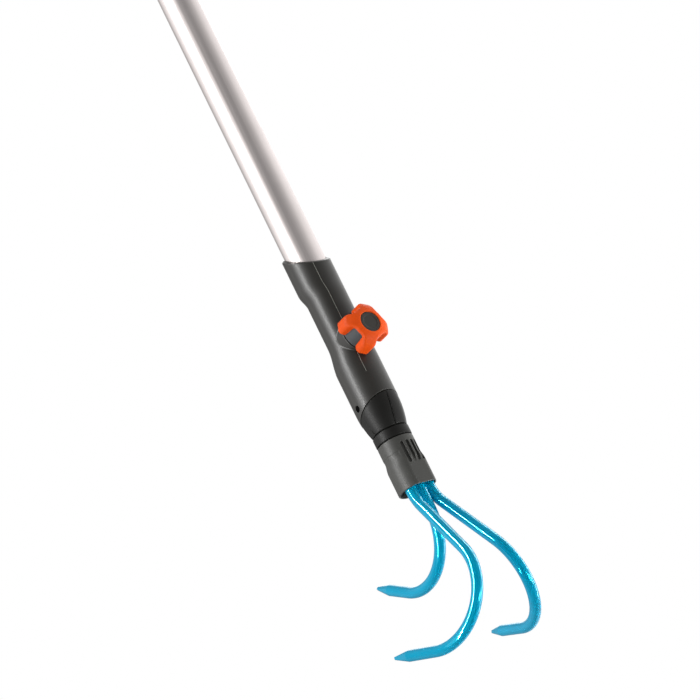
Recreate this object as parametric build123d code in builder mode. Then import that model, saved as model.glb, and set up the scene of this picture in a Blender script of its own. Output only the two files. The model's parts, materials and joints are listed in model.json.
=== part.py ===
"""Hand cultivator: three hooked tines on a plug-in tool head, a screw coupling and an aluminium handle.

Frame, in millimetres: +X runs along the handle towards the tines, +Z is the knob side and the
tine points face -Z. The origin is on the handle's axis, where the bare tube enters the coupling.
"""

import os
from math import atan2, cos, degrees, radians, sin

from build123d import *

os.makedirs("parts", exist_ok=True)

# ---- driving dimensions ----
seat_gap = 0.02  # radial gap of parts that are pressed or moulded together
run_gap = 0.08  # radial gap of parts that slide or turn in each other

tube_r = 13.0
tube_wall = 1.5
tube_exposed = 760.0
tube_end_x = 26.0
tube_end_r = tube_r - 0.2  # the end in the coupling is swaged a little
tube_swage_x = 0.0

form_start = -8.0  # the moulded form starts here, before the rim is cut
rim_x = 3.2  # where the rim's slanted plane meets the axis
rim_slope = 0.57  # rise of X for each millimetre of Z
rim_low_x = 0.3  # the rim's underside stops here, square to the tube
skirt_r = 15.45
waist_r = 14.3
waist_offset = 1.8  # the waist's centre is lifted towards the knob
swell_r = 15.9
scoop_in_x, waist_x = 26.0, 38.0
waist_end_x, swell_x = 70.0, 91.0
taper_x, neck_end_x = 120.0, 140.0
neck_end_r = 12.9
seam_x = 123.6
seam_slope = -0.50

peg_r = 9.57
peg_flat_z = 7.5
peg_tip_x, peg_root_x = 34.0, 162.0
sleeve_r = 12.4
sleeve_x = 96.0
snap_pin_x, snap_pin_z = 118.5, -1.2
snap_pin_r = 2.3
snap_pin_reach = (10.2, 15.0)

knob_x = 72.0
knob_turn = -22.0  # the lobes' direction about Z at rest, in degrees
lobe_count = 4
lobe_reach, lobe_width, lobe_corner_r = 17.0, 9.8, 2.6
knob_plate_r = 11.9
hub_r, hub_top_r = 12.7, 11.4
boss_r, boss_top_z = 13.0, 16.2
hub_z, leg_z, plate_z, knob_top_z = 16.6, 17.5, 29.0, 32.6
cap_r, cap_thick = 7.4, 2.0
screw_r, screw_top_z = 3.95, 29.6
nut_across_flats, nut_thick = 13.0, 5.0
nut_z = 9.9
pad_r, pad_stem_r, pad_thick = 3.3, 1.5, 3.4

ring_x, ring_r, ring_groove = neck_end_x + 0.05, 13.0, 0.55
socket_x, socket_r = 148.0, 12.85
flare_x, mouth_r_x = 160.0, 167.0
mouth_x, mouth_r = 184.0, 13.75
mouth_flat_z = 11.5
mouth_wall = 1.0
mouth_recess = 6.0
slot_angles = (-22.0, -3.5, 15.0, 33.5)
slot_from, slot_to, slot_width, slot_depth = 152.4, 168.0, 2.3, 1.6
anchor_x, anchor_thick = 169.0, 2.5

rod_r = 4.0
point_length, point_r = 14.5, 1.1
row_pitch, row_z = 8.05, 2.7  # the three rods lie side by side in the socket
outer_lead = 0.01  # the outer rods bend as soon as they leave the socket
outer_bend, outer_bend_r = 30.5, 27.9
outer_bend_lean = 11.5  # sideways lean of the first bend from the XZ plane
outer_run = 50.6
outer_hook, outer_hook_r = 138.7, 37.6
outer_hook_lean = 13.9
outer_end = 37.9
middle_lead = 17.0  # the middle rod has no first bend
middle_hook, middle_hook_r = 121.7, 38.7
middle_end = 32.0

cap_head, cap_plug = 8.0, 25.0
tail_length, tail_width, tail_thick = 22.0, 20.0, 8.0
hang_hole_r = 4.0


def write(builder, label):
    """Label a finished piece and export it as its own STEP file."""
    builder.part.label = label
    export_step(builder.part, f"parts/{label}.step")


def blend(a, b, t):
    """Smooth step from a to b as t goes from 0 to 1."""
    t = min(max(t, 0.0), 1.0)
    return a + (b - a) * t * t * (3 - 2 * t)


def shell_section(x):
    """Radius and lifted centre of the coupling's round section at x."""
    into = (x - scoop_in_x) / (waist_x - scoop_in_x)
    out = (x - waist_end_x) / (swell_x - waist_end_x)
    if x < waist_end_x:
        return blend(skirt_r, waist_r, into), blend(0.0, waist_offset, into)
    return blend(waist_r, swell_r, out), blend(waist_offset, 0.0, out)


def across(x):
    """The plane across the handle's axis at x, with local Y along row Z."""
    return Plane(origin=(x, 0, 0), x_dir=(0, 1, 0), z_dir=(1, 0, 0))


def slanted(x, slope):
    """A plane through the axis at x whose X rises by slope for each millimetre of Z."""
    return Plane(origin=(x, 0, 0), x_dir=(0, 1, 0), z_dir=(1, 0, -slope))


def coupling_form():
    """The solid outer form that the coupling shell and the neck insert share."""
    with BuildPart() as form:
        with BuildSketch(across(form_start)):
            Circle(skirt_r)
        extrude(amount=scoop_in_x - form_start)
        for start, end in ((scoop_in_x, waist_x), (waist_end_x, swell_x)):
            for step in range(5):
                x = start + (end - start) * step / 4
                radius, lift = shell_section(x)
                with BuildSketch(across(x)):
                    with Locations((0, lift)):
                        Circle(radius)
            loft()
        with BuildSketch(across(waist_x)):
            with Locations((0, waist_offset)):
                Circle(waist_r)
        extrude(amount=waist_end_x - waist_x)
        with BuildSketch(Plane.XZ):
            with BuildLine():
                Line((swell_x, 0), (swell_x, swell_r))
                Line((swell_x, swell_r), (taper_x, swell_r))
                TangentArc((taper_x, swell_r), (neck_end_x, neck_end_r), tangent=(1, 0))
                Line((neck_end_x, neck_end_r), (neck_end_x, 0))
                Line((neck_end_x, 0), (swell_x, 0))
            make_face()
        revolve(axis=Axis.X)
    return form.part


body_form = coupling_form()

# ---- handle: tube, end cap and the plug in the tube's lower end ----
with BuildPart() as handle_tube:
    with BuildSketch(Plane.XZ):
        with BuildLine():
            Polyline(
                (-tube_exposed, tube_r - tube_wall),
                (-tube_exposed, tube_r),
                (tube_swage_x, tube_r),
                (tube_swage_x + 0.5, tube_end_r),
                (tube_end_x, tube_end_r),
                (tube_end_x, tube_r - tube_wall),
                close=True,
            )
        make_face()
    revolve(axis=Axis.X)
write(handle_tube, "handle_tube")

with BuildPart() as end_cap:
    with BuildSketch(across(-tube_exposed)):
        Circle(tube_r - tube_wall - seat_gap)
    extrude(amount=cap_plug)
    with BuildSketch(across(-tube_exposed)):
        Circle(tube_r)
    extrude(amount=-cap_head)
    chamfer(end_cap.faces().sort_by(Axis.X)[0].edges(), 2.0)
    tail_x = -tube_exposed - cap_head
    with BuildSketch(Plane.XY.offset(-tail_thick / 2)):
        with Locations((tail_x + 1 - tail_length / 4, 0)):
            Rectangle(tail_length / 2 + 2, tail_width)
        with Locations((tail_x - tail_length + tail_width / 2, 0)):
            Circle(tail_width / 2)
    extrude(amount=tail_thick)
    with BuildSketch(Plane.XY.offset(-tail_thick / 2)):
        with Locations((tail_x - tail_length + tail_width / 2, 0)):
            Circle(hang_hole_r)
    extrude(amount=tail_thick, mode=Mode.SUBTRACT)
    with BuildSketch(across(-tube_exposed + cap_plug)):
        Circle(tube_r - tube_wall - 2.5)
    extrude(amount=-cap_plug + 3, mode=Mode.SUBTRACT)
write(end_cap, "end_cap")

plug_flange = 3.0
with BuildPart() as tube_plug:
    with BuildSketch(across(2)):
        Circle(tube_r - tube_wall - seat_gap)
        Circle(tube_r - tube_wall - 2.5, mode=Mode.SUBTRACT)
    extrude(amount=tube_end_x - 2)
    with BuildSketch(across(tube_end_x)):
        Circle(tube_end_r)
    extrude(amount=plug_flange)
write(tube_plug, "tube_plug")

# ---- coupling shell with its screw boss ----
with BuildPart() as coupling_shell:
    add(body_form)
    with BuildSketch(Plane.XY.offset(5)):
        with Locations((knob_x, 0)):
            Circle(boss_r)
    extrude(amount=boss_top_z - 5)
    split(bisect_by=slanted(rim_x, rim_slope), keep=Keep.TOP)
    split(bisect_by=across(rim_low_x), keep=Keep.TOP)
    split(bisect_by=slanted(seam_x, seam_slope), keep=Keep.BOTTOM)
    with BuildSketch(across(form_start)):
        Circle(tube_end_r + 0.25)
    extrude(amount=tube_end_x + plug_flange - form_start, mode=Mode.SUBTRACT)
    with BuildSketch(across(0)):
        Circle(peg_r + run_gap)
    extrude(amount=140, mode=Mode.SUBTRACT)
    with BuildSketch(across(sleeve_x)):
        Circle(sleeve_r + seat_gap)
    extrude(amount=50, mode=Mode.SUBTRACT)
    with BuildSketch(Plane.XZ.offset(-20)):
        with Locations((snap_pin_x, snap_pin_z)):
            Circle(snap_pin_r)
    extrude(amount=40, mode=Mode.SUBTRACT)
    with BuildSketch(Plane.XY):
        with Locations((knob_x, 0)):
            Circle(screw_r + 0.35)
    extrude(amount=boss_top_z + 1, mode=Mode.SUBTRACT)
    with BuildSketch(Plane.XY):
        with Locations((knob_x, 0)):
            RegularPolygon(nut_across_flats / 2 + seat_gap, 6, major_radius=False)
    extrude(amount=nut_z + nut_thick, mode=Mode.SUBTRACT)
write(coupling_shell, "coupling_shell")

# ---- neck insert: the flush lower end of the coupling, with a sleeve up inside the shell ----
with BuildPart() as neck_insert:
    add(body_form)
    split(bisect_by=slanted(seam_x + 0.02, seam_slope), keep=Keep.TOP)
    with BuildSketch(across(sleeve_x)):
        Circle(sleeve_r)
    extrude(amount=35)
    with BuildSketch(across(sleeve_x)):
        Circle(peg_r + run_gap)
        with Locations((0, peg_flat_z + run_gap + 10)):
            Rectangle(40, 20, mode=Mode.SUBTRACT)
    extrude(amount=60, mode=Mode.SUBTRACT)
    with BuildSketch(Plane.XZ.offset(-20)):
        with Locations((snap_pin_x, snap_pin_z)):
            Circle(snap_pin_r)
    extrude(amount=40, mode=Mode.SUBTRACT)
write(neck_insert, "neck_insert")

with BuildPart() as snap_pins:
    for side in (-1, 1):
        with BuildSketch(Plane.XZ.offset(-side * snap_pin_reach[0])):
            with Locations((snap_pin_x, snap_pin_z)):
                Circle(snap_pin_r - seat_gap)
        extrude(amount=-side * (snap_pin_reach[1] - snap_pin_reach[0]))
write(snap_pins, "snap_pins")

with BuildPart() as captive_nut:
    with BuildSketch(Plane.XY.offset(nut_z)):
        with Locations((knob_x, 0)):
            RegularPolygon(nut_across_flats / 2, 6, major_radius=False)
            Circle(screw_r + run_gap, mode=Mode.SUBTRACT)
    extrude(amount=nut_thick)
write(captive_nut, "captive_nut")

# ---- clamp: the pad on the screw's tip, then the screw and its knob ----
pad_z = peg_flat_z + 0.03
screw_z = pad_z + pad_thick + 0.05
with BuildPart() as clamp_pad:
    with BuildSketch(Plane.XY.offset(pad_z)):
        with Locations((knob_x, 0)):
            Circle(pad_r)
    extrude(amount=pad_thick)
    with BuildSketch(Plane.XY.offset(pad_z)):
        with Locations((knob_x, 0)):
            Circle(pad_stem_r)
    extrude(amount=pad_thick + 5)
write(clamp_pad, "clamp_pad")

with BuildPart() as clamp_screw:
    with BuildSketch(Plane.XY.offset(screw_z)):
        with Locations((knob_x, 0)):
            Circle(screw_r)
    extrude(amount=screw_top_z - screw_z)
    with BuildSketch(Plane.XY.offset(screw_z)):
        with Locations((knob_x, 0)):
            Circle(pad_stem_r + run_gap)
    extrude(amount=5.2, mode=Mode.SUBTRACT)
write(clamp_screw, "clamp_screw")

hub_spigot_r, hub_spigot_z = 5.5, knob_top_z - cap_thick
hub_draft = degrees(atan2(hub_r - hub_top_r, plate_z - hub_z))


def knob_hub_cone(extra):
    """The hub's tapered drum, extra millimetres larger in radius."""
    with BuildPart() as cone:
        with BuildSketch(Plane.XY.offset(hub_z)):
            with Locations((knob_x, 0)):
                Circle(hub_r + extra)
        extrude(amount=plate_z - hub_z, taper=hub_draft)
    return cone.part


with BuildPart() as knob_hub:
    add(knob_hub_cone(0))
    with BuildSketch(Plane.XY.offset(plate_z)):
        with Locations((knob_x, 0)):
            Circle(hub_spigot_r)
    extrude(amount=hub_spigot_z - plate_z)
    with BuildSketch(Plane.XY):
        with Locations((knob_x, 0)):
            Circle(screw_r + seat_gap)
    extrude(amount=screw_top_z, mode=Mode.SUBTRACT)
write(knob_hub, "knob_hub")

shoulder_r, shoulder_z, brow_r, brow_z = lobe_reach, 27.1, 12.0, 31.6
with BuildPart() as knob_body:
    for z, height in ((leg_z, knob_top_z - leg_z), (plate_z, knob_top_z - plate_z)):
        with BuildSketch(Plane.XY.offset(z)):
            if z == plate_z:
                with Locations((knob_x, 0)):
                    Circle(knob_plate_r)
            with Locations((knob_x, 0)):
                with PolarLocations(lobe_reach / 2 + 2, lobe_count, start_angle=knob_turn):
                    RectangleRounded(lobe_reach - 4, lobe_width, lobe_corner_r)
        extrude(amount=height)
    with BuildSketch(Plane(origin=(knob_x, 0, 0), x_dir=(1, 0, 0), z_dir=(0, -1, 0))):
        with BuildLine():
            Polyline(
                (0, leg_z),
                (shoulder_r + 2, leg_z),
                (shoulder_r + 2, shoulder_z),
                (shoulder_r, shoulder_z),
                (brow_r, brow_z),
                (cap_r + 1, knob_top_z),
                (0, knob_top_z),
                close=True,
            )
        make_face()
    revolve(axis=Axis((knob_x, 0, 0), (0, 0, 1)), mode=Mode.INTERSECT)
    add(knob_hub_cone(seat_gap), mode=Mode.SUBTRACT)
    with BuildSketch(Plane.XY.offset(plate_z - 0.01)):
        with Locations((knob_x, 0)):
            Circle(hub_spigot_r + seat_gap)
    extrude(amount=10, mode=Mode.SUBTRACT)
    with BuildSketch(Plane.XY.offset(hub_spigot_z)):
        with Locations((knob_x, 0)):
            Circle(cap_r + seat_gap)
    extrude(amount=10, mode=Mode.SUBTRACT)
write(knob_body, "knob_body")

with BuildPart() as knob_cap:
    with BuildSketch(Plane.XY.offset(hub_spigot_z)):
        with Locations((knob_x, 0)):
            Circle(cap_r)
    extrude(amount=cap_thick - 0.3)
    fillet(knob_cap.faces().sort_by(Axis.Z)[-1].edges(), 0.5)
write(knob_cap, "knob_cap")

# ---- tool head: peg, ring and socket ----
with BuildPart() as tool_peg:
    with BuildSketch(across(peg_tip_x)):
        Circle(peg_r)
    extrude(amount=peg_root_x - peg_tip_x)
    chamfer(tool_peg.faces().sort_by(Axis.X)[0].edges(), 1.5)
    with BuildSketch(across(peg_tip_x)):
        with Locations((0, peg_flat_z + 10)):
            Rectangle(40, 20)
    extrude(amount=peg_root_x - peg_tip_x, mode=Mode.SUBTRACT)
write(tool_peg, "tool_peg")

with BuildPart() as collar_ring:
    with BuildSketch(across(ring_x)):
        Circle(ring_r - 1.4)
    extrude(amount=socket_x - ring_x)
    with BuildSketch(across(ring_x + ring_groove)):
        Circle(ring_r)
    extrude(amount=socket_x - ring_x - 2 * ring_groove)
    with BuildSketch(across(ring_x)):
        Circle(peg_r + seat_gap)
    extrude(amount=20, mode=Mode.SUBTRACT)
write(collar_ring, "collar_ring")


def knob_side_flat(x, radius, flat_z, length):
    """Round bar along +X from x, cut flat on the knob side."""
    with BuildPart() as bar:
        with BuildSketch(across(x)):
            Circle(radius)
            with Locations((0, flat_z + 10)):
                Rectangle(60, 20, mode=Mode.SUBTRACT)
        extrude(amount=length)
    return bar.part


cavity_r = mouth_r - mouth_wall
cavity_flat_z = mouth_flat_z - mouth_wall
with BuildPart() as tool_socket:
    with BuildSketch(Plane.XZ):
        with BuildLine():
            Polyline(
                (socket_x, 0),
                (socket_x, socket_r),
                (flare_x, socket_r),
                (mouth_r_x, mouth_r),
                (mouth_x, mouth_r),
                (mouth_x, 0),
                close=True,
            )
        make_face()
    revolve(axis=Axis.X)
    with BuildSketch(Plane.XZ.offset(-20)):
        with BuildLine():
            Polyline(
                (flare_x + 1, socket_r + 0.3),
                (mouth_r_x + 2, mouth_flat_z),
                (mouth_x, mouth_flat_z),
                (mouth_x, 20),
                (flare_x + 1, 20),
                close=True,
            )
        make_face()
    extrude(amount=40, mode=Mode.SUBTRACT)
    add(
        knob_side_flat(anchor_x, cavity_r, cavity_flat_z, mouth_x - anchor_x),
        mode=Mode.SUBTRACT,
    )
    with BuildSketch(across(socket_x)):
        Circle(peg_r + seat_gap)
    extrude(amount=peg_root_x - socket_x, mode=Mode.SUBTRACT)
    for angle in slot_angles:
        lean = radians(angle)
        slot_plane = Plane(
            origin=(0, socket_r * sin(lean), socket_r * cos(lean)),
            x_dir=(1, 0, 0),
            z_dir=(0, sin(lean), cos(lean)),
        )
        with BuildSketch(slot_plane.offset(-slot_depth)):
            with Locations(((slot_from + slot_to) / 2, 0)):
                SlotOverall(slot_to - slot_from, slot_width)
        extrude(amount=slot_depth + 2, mode=Mode.SUBTRACT)
write(tool_socket, "tool_socket")

core_x = anchor_x + anchor_thick
core_end_x = mouth_x - mouth_recess


def holder(x, length):
    """Flat-sided disc that fills the socket's cavity, with one slot for the row of rods."""
    slot_half = rod_r + seat_gap
    with BuildPart() as disc:
        add(knob_side_flat(x, cavity_r - seat_gap, cavity_flat_z - seat_gap, length))
        with BuildSketch(across(x)):
            with Locations((0, row_z)):
                SlotOverall(2 * (row_pitch + slot_half), 2 * slot_half)
        extrude(amount=length, mode=Mode.SUBTRACT)
    return disc


anchor_plate = holder(anchor_x, anchor_thick)
write(anchor_plate, "anchor_plate")
tine_core = holder(core_x, core_end_x - core_x)
write(tine_core, "tine_core")


# ---- tines: bent round rods with drawn-out points ----
def bent(point, heading, towards, angle, radius):
    """End point and heading after an arc of this angle and radius that turns towards a direction."""
    side = (towards - heading * towards.dot(heading)).normalized()
    turn = radians(angle)
    end = point + heading * radius * sin(turn) + side * radius * (1 - cos(turn))
    return end, heading * cos(turn) + side * sin(turn)


def tine(y, lead, lift, hook, end):
    """A rod that leaves the socket along +X and hooks down towards -Z.

    lift is the first bend towards +Z, as (angle, radius, lean, straight run after it), or None.
    hook is the last bend, as (angle, radius, lean). A lean tilts a bend sideways, towards +Y.
    """
    root = Vector(anchor_x, y, row_z)
    spot = Vector(mouth_x + lead, y, row_z)
    heading = Vector(1, 0, 0)
    with BuildPart() as rod:
        with BuildLine():
            Line(root, spot)
            if lift:
                angle, radius, lean, run = lift
                up = Vector(0, sin(radians(lean)), cos(radians(lean)))
                lifted, rising = bent(spot, heading, up, angle, radius)
                TangentArc(spot, lifted, tangent=heading)
                Line(lifted, lifted + rising * run)
                spot = lifted + rising * run
                heading = rising
            angle, radius, lean = hook
            down = Vector(0, sin(radians(lean)), -cos(radians(lean)))
            hooked, falling = bent(spot, heading, down, angle, radius)
            TangentArc(spot, hooked, tangent=heading)
            tip_start = hooked + falling * (end - point_length)
            Line(hooked, tip_start)
        with BuildSketch(across(anchor_x)):
            with Locations((y, row_z)):
                Circle(rod_r)
        sweep()
        tip_plane = Plane(origin=tip_start, z_dir=falling)
        with BuildSketch(tip_plane):
            Circle(rod_r)
        with BuildSketch(tip_plane.offset(point_length)):
            Circle(point_r)
        loft()
    return rod


for side, label in ((-1, "tine_left"), (1, "tine_right")):
    outer_tine = tine(
        side * row_pitch,
        outer_lead,
        (outer_bend, outer_bend_r, side * outer_bend_lean, outer_run),
        (outer_hook, outer_hook_r, side * outer_hook_lean),
        outer_end,
    )
    write(outer_tine, label)

middle_tine = tine(0, middle_lead, None, (middle_hook, middle_hook_r, 0), middle_end)
write(middle_tine, "tine_middle")
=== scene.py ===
import json
from math import cos, pi, radians, sin, sqrt, tau

import bpy
import numpy as np
from mathutils import Matrix, Vector


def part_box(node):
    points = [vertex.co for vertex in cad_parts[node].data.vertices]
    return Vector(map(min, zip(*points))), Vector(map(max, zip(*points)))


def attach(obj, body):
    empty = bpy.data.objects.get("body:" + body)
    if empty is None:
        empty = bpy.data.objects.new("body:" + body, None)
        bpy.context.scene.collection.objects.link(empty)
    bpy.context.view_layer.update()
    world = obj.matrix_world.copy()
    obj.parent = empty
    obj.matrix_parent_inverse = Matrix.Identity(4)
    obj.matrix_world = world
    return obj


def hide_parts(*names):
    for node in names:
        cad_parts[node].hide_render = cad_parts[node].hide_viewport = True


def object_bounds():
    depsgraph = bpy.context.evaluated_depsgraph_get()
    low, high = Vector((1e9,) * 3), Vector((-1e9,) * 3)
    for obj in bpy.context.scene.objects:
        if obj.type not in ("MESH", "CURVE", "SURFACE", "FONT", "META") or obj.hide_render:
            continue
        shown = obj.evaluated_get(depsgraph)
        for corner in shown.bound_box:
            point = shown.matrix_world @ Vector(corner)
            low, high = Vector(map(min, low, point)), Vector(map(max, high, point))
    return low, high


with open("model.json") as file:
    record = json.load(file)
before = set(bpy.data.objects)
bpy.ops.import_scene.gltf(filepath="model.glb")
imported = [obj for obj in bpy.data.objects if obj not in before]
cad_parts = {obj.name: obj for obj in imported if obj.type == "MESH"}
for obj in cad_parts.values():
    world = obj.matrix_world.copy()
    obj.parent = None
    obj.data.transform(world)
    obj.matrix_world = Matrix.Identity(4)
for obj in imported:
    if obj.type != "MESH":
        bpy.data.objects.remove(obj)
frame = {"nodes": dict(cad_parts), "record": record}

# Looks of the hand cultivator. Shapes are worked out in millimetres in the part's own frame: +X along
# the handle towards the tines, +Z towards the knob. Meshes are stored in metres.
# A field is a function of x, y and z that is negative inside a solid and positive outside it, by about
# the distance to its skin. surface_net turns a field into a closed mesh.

MM = 0.001
cad_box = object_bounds()


def node_box(node):
    """Lowest and highest corner of a CAD node, in millimetres."""
    return [np.array(corner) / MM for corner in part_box(node)]


def joint(name):
    """The record's joint of that name."""
    return next(j for j in frame["record"]["behaviour"]["joints"] if j["name"] == name)


def mount(name):
    """The record's mount of that name."""
    return next(m for m in frame["record"]["mounts"] if m["name"] == name)


# ---- sizes read from the frame ----
TUBE_LOW, TUBE_HIGH = node_box("handle_tube")
SHELL_LOW, SHELL_HIGH = node_box("coupling_shell")
NECK_LOW, NECK_HIGH = node_box("neck_insert")
RING_LOW, RING_HIGH = node_box("collar_ring")
SOCKET_LOW, SOCKET_HIGH = node_box("tool_socket")
CAP_LOW, CAP_HIGH = node_box("end_cap")
HUB_LOW, HUB_HIGH = node_box("knob_hub")
KNOB_LOW, KNOB_HIGH = node_box("knob_body")
DISC_LOW, DISC_HIGH = node_box("knob_cap")
PEG_HIGH = node_box("tool_peg")[1]
PLATE_LOW = node_box("anchor_plate")[0]

TUBE_R = mount("handle_tube")["dims"]["r_mm"]
HANG_R = mount("hanging_hole")["dims"]["r_mm"]
HANG_X = mount("hanging_hole")["pos_m"][0] / MM
KNOB_X = joint("knob_turn")["pos_m"][0] / MM

# ---- sizes of the moulded forms ----
# Names end in _X or _Z for a place, _R for a radius, _SLOPE for a rise per length and _AROUND for
# degrees about +X from +Z towards +Y. A pair named _FADE is where a smooth step starts and ends.
RUN_GAP, SEAT_GAP = 0.08, 0.02
FAR_X = 200.0  # past the ends of every cut along X

# coupling: outer form, rim with its chamfered lip, and seam towards the neck
SKIRT_R, WAIST_R, WAIST_LIFT = 15.45, 14.3, 1.8
SWELL_R = SHELL_HIGH[1]
SCOOP_X, WAIST_X, WAIST_END_X, SWELL_X = 26.0, 38.0, 70.0, 91.0
TAPER_X, NECK_END_X, NECK_END_R = 120.0, NECK_HIGH[0], 12.9
RIM_X, RIM_SLOPE, RIM_LOW_X, RIM_CORNER_R = 3.2, 0.57, -2.5, 2.0
LIP_RISE, LIP_SLOPE = 2.2, 0.75
SEAM_X, SEAM_SLOPE, SEAM_GAP = 123.6, -0.50, 0.25

# coupling: bores, screw boss, nut pocket and cross hole
PEG_R = PEG_HIGH[1]
PEG_FLAT_Z = PEG_HIGH[2]
BORE_R = PEG_R + RUN_GAP
TUBE_BORE_R, TUBE_BORE_X = TUBE_R + 0.05, 29.0
BOSS_R, BOSS_Z = 13.0, 16.2
SCREW_HOLE_R = 4.3
NUT_FLATS, NUT_TOP = 13.04, 14.9
PIN_X, PIN_Z, PIN_R = 118.5, -1.2, 2.3

# neck: sleeve, raised panel, side facets and fine lines given as (along, around) places and width
SLEEVE_X, SLEEVE_END_X, SLEEVE_R = NECK_LOW[0], 130.0, 12.4
NECK_SINK = 0.25
PANEL_RISE, PANEL_EDGE = 0.25, ((119.0, -3.0), (140.0, -13.0))
PANEL_EDGE_WIDTH = 3.0
PANEL_FAR_FADE, PANEL_X_FADE = (40.0, 28.0), (112.0, 118.0)
FACET_DEPTH = 0.45
FACET_TOP_FADE, FACET_LOW_FADE, FACET_X_FADE = (88.0, 85.0), (52.0, 66.0), (126.0, 131.0)
TOP_LINE = ((119.0, -3.0), (139.3, -13.0), 0.55)
SIDE_LINE = ((130.0, -97.0), (139.3, -88.0), 0.5)
LINE_DEPTH = 0.7

# pale line along the coupling
STRIPE_AROUND, STRIPE_HALF = -26.2, 0.11
STRIPE_RUNS = ((13.5, 58.5), (84.5, 99.0))
STRIPE_SINK, STRIPE_RISE = 0.3, 0.04

# knob: crossed lobes, hub, and the disc in its pocket
LOBE_REACH, LOBE_HALF, LOBE_TURN, LOBE_CORNER_R, LOBE_CROTCH_R = 17.0, 4.9, -22.0, 3.0, 2.5
LEG_Z, KNOB_TOP = KNOB_LOW[2], KNOB_HIGH[2]
BROW_R, BROW_Z, SHOULDER_Z = 12.0, 31.6, 27.1
CROWN_R, CROWN_SLOPE = 8.2, 0.28
PLATE_Z, PLATE_R = 29.0, 11.9
HUB_R, HUB_TOP_R, HUB_Z = HUB_HIGH[1], 11.4, HUB_LOW[2]
SPIGOT_R, SPIGOT_HOLE_R = 5.48, 5.5
SCREW_SEAT_R, SCREW_SEAT_TOP = 3.97, 29.6
DISC_R, DISC_GAP = DISC_HIGH[1], 0.15
DISH_DEPTH, DISH_FADE = 0.25, (4.6, 5.8)

# tool socket and ring
SOCKET_R, FLARE_X, MOUTH_FROM_X = 12.85, 160.0, 167.0
MOUTH_R = SOCKET_HIGH[1]
MOUTH_X, MOUTH_FLAT_Z, MOUTH_WALL = SOCKET_HIGH[0], 11.5, 1.0
FLAT_START_Z, FLAT_RUN = SOCKET_R + 0.6, 9.0
STEP_DEPTH, STEP_FADE, STEP_END_FADE = 0.22, (157.6, 158.1), (164.0, 159.0)
STEP_AROUND_FADE = (-38.0, -44.0)
SLOT_ANGLES, SLOT_FROM, SLOT_TO = (-22.0, -3.5, 15.0, 33.5), 152.4, 168.0
SLOT_WIDTH, SLOT_DEPTH = 2.3, 1.6
RING_STEP, RING_GROOVE = 1.4, 0.75

# handle tube and end cap
TUBE_WALL, SWAGE_DEPTH, SWAGE_X, SWAGE_END_X = 1.5, 0.2, 14.0, 14.5
CAP_HEAD, CAP_TAB = 22.0, 24.0
TAB_WIDE_HALF, TAB_THICK_HALF = 10.0, 4.0
CAP_WALL, CAP_FLOOR = 4.0, 3.0

# tines: bends as angle, radius and sideways lean; the lift is followed by a straight run
ROD_R, ROW_PITCH, ROW_Z = 4.0, 8.05, 2.7
MIDDLE_LEAD, MIDDLE_HOOK, MIDDLE_END = 17.0, (121.7, 38.7, 0.0), 32.0
OUTER_LEAD, OUTER_END = 0.01, 37.9
OUTER_LIFT, OUTER_HOOK, OUTER_RUN = (30.5, 27.9, 11.5), (138.7, 37.6, 13.9), 50.6
POINT_LENGTH, POINT_HALF, POINT_EDGE, POINT_STEPS = 14.5, 1.0, 1.3, 40
POINT_FLAT_RUN, POINT_EDGE_RUN, POINT_SPARE = POINT_LENGTH - 0.5, POINT_LENGTH - 1.5, 0.1
TIP_SHARE, TIP_LENGTH = 0.72, 0.28


# ---- mesh helpers ----
def round_max(a, b, r):
    """Where two solids overlap, with the shared edge rounded to radius r."""
    return np.minimum(-r, np.maximum(a, b)) + np.hypot(np.maximum(a + r, 0), np.maximum(b + r, 0))


def round_min(a, b, r):
    """Two solids joined, with a fillet of radius r between them."""
    return np.maximum(r, np.minimum(a, b)) - np.hypot(np.maximum(r - a, 0), np.maximum(r - b, 0))


def fade(value, start, end):
    """Smooth step from 0 at start to 1 at end, which may be the lower one."""
    t = np.clip((value - start) / (end - start), 0, 1)
    return t * t * (3 - 2 * t)


def gradient(field, points, step):
    """Slope of a distance field at the given points."""
    slope = np.empty_like(points)
    for axis in range(3):
        shift = np.zeros(3)
        shift[axis] = step
        slope[:, axis] = (field(*(points + shift).T) - field(*(points - shift).T)) / (2 * step)
    return slope


def new_object(name, points, faces, normals=None, smooth_faces=True):
    """Mesh object from points in millimetres and faces of equal or mixed length."""
    mesh = bpy.data.meshes.new(name)
    points = np.asarray(points, float)
    sizes = np.array([len(f) for f in faces], np.int32)
    mesh.vertices.add(len(points))
    mesh.vertices.foreach_set("co", (points * MM).ravel())
    mesh.loops.add(int(sizes.sum()))
    mesh.loops.foreach_set("vertex_index", np.concatenate([np.asarray(f, np.int32) for f in faces]))
    mesh.polygons.add(len(sizes))
    starts = np.concatenate([[0], np.cumsum(sizes)[:-1]])
    mesh.polygons.foreach_set("loop_start", starts.astype(np.int32))
    mesh.polygons.foreach_set("use_smooth", np.full(len(sizes), smooth_faces))
    mesh.update(calc_edges=True)
    mesh.validate()
    if normals is not None:
        mesh.normals_split_custom_set_from_vertices(normals)
    piece = bpy.data.objects.new(name, mesh)
    bpy.context.scene.collection.objects.link(piece)
    return piece


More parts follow.
